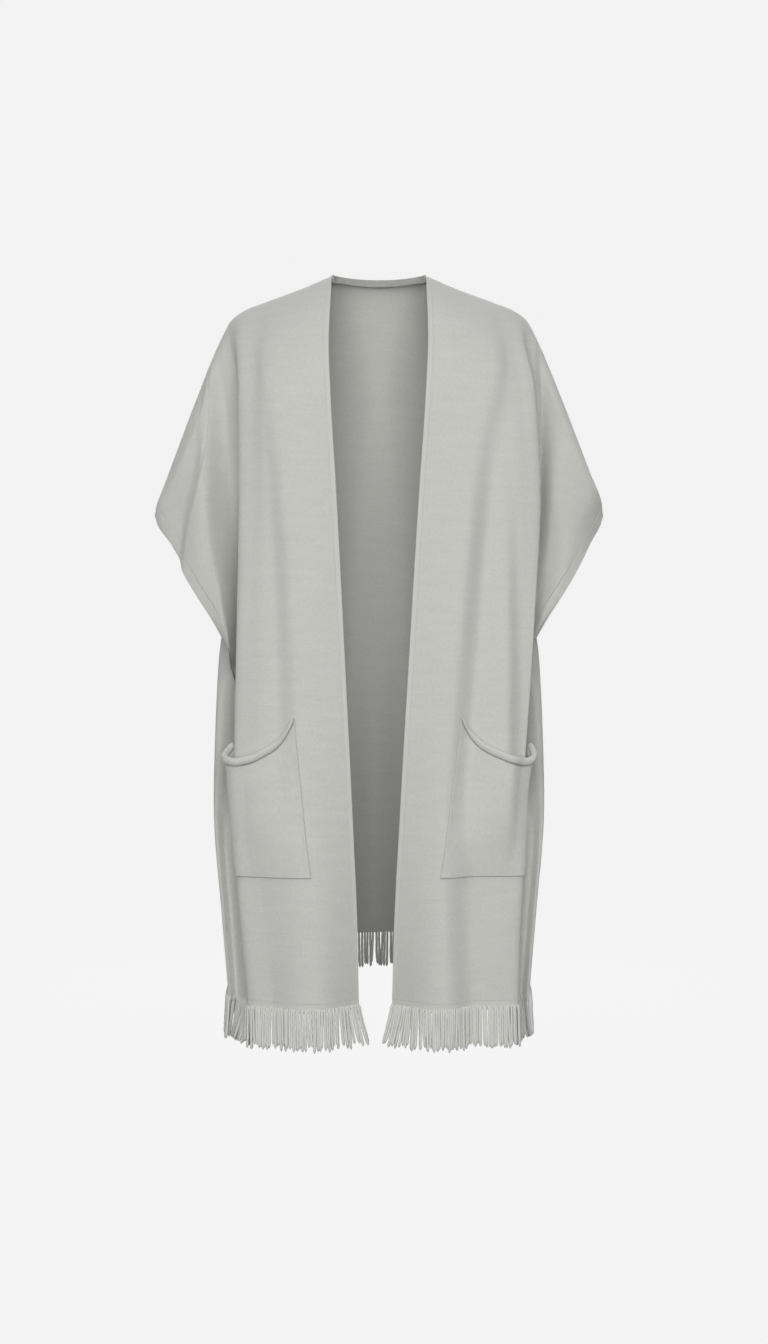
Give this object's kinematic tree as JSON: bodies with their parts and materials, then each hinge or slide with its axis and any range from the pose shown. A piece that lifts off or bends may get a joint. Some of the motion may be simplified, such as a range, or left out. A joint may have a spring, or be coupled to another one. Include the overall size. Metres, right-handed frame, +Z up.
{
  "type": "fringed knitted gilet",
  "caption": "Long open-front knitted gilet with wide cape sleeves, patch pockets with rolled mouths and a fringed hem, filled out as if worn.",
  "frame": {"origin": "midway between the two points where the shoulder seams meet the neck, at the height of the shoulder line, where a wearer's shoulders hold the garment up", "axes": "+Z up, the front faces -Y, the wearer's left is +X"},
  "size_m": [0.6322, 0.2797, 1.0585],
  "materials": {
    "knit": "fine, slightly felted light grey knit",
    "band_knit": "doubled light grey knitted band",
    "fringe_yarn": "loose light grey yarn ends"
  },
  "bodies": {
    "root": {"back_panel": "knit", "neck_band": "band_knit", "hem_band_back": "band_knit", "fringe_back": "fringe_yarn", "front_panel_left": "knit", "front_band_left": "band_knit", "armhole_band_front_left": "band_knit", "armhole_band_back_left": "band_knit", "pocket_left": "knit", "pocket_roll_left": "band_knit", "hem_band_front_left": "band_knit", "fringe_front_left": "fringe_yarn", "front_panel_right": "knit", "front_band_right": "band_knit", "armhole_band_front_right": "band_knit", "armhole_band_back_right": "band_knit", "pocket_right": "knit", "pocket_roll_right": "band_knit", "hem_band_front_right": "band_knit", "fringe_front_right": "fringe_yarn"}
  },
  "joints": []
}
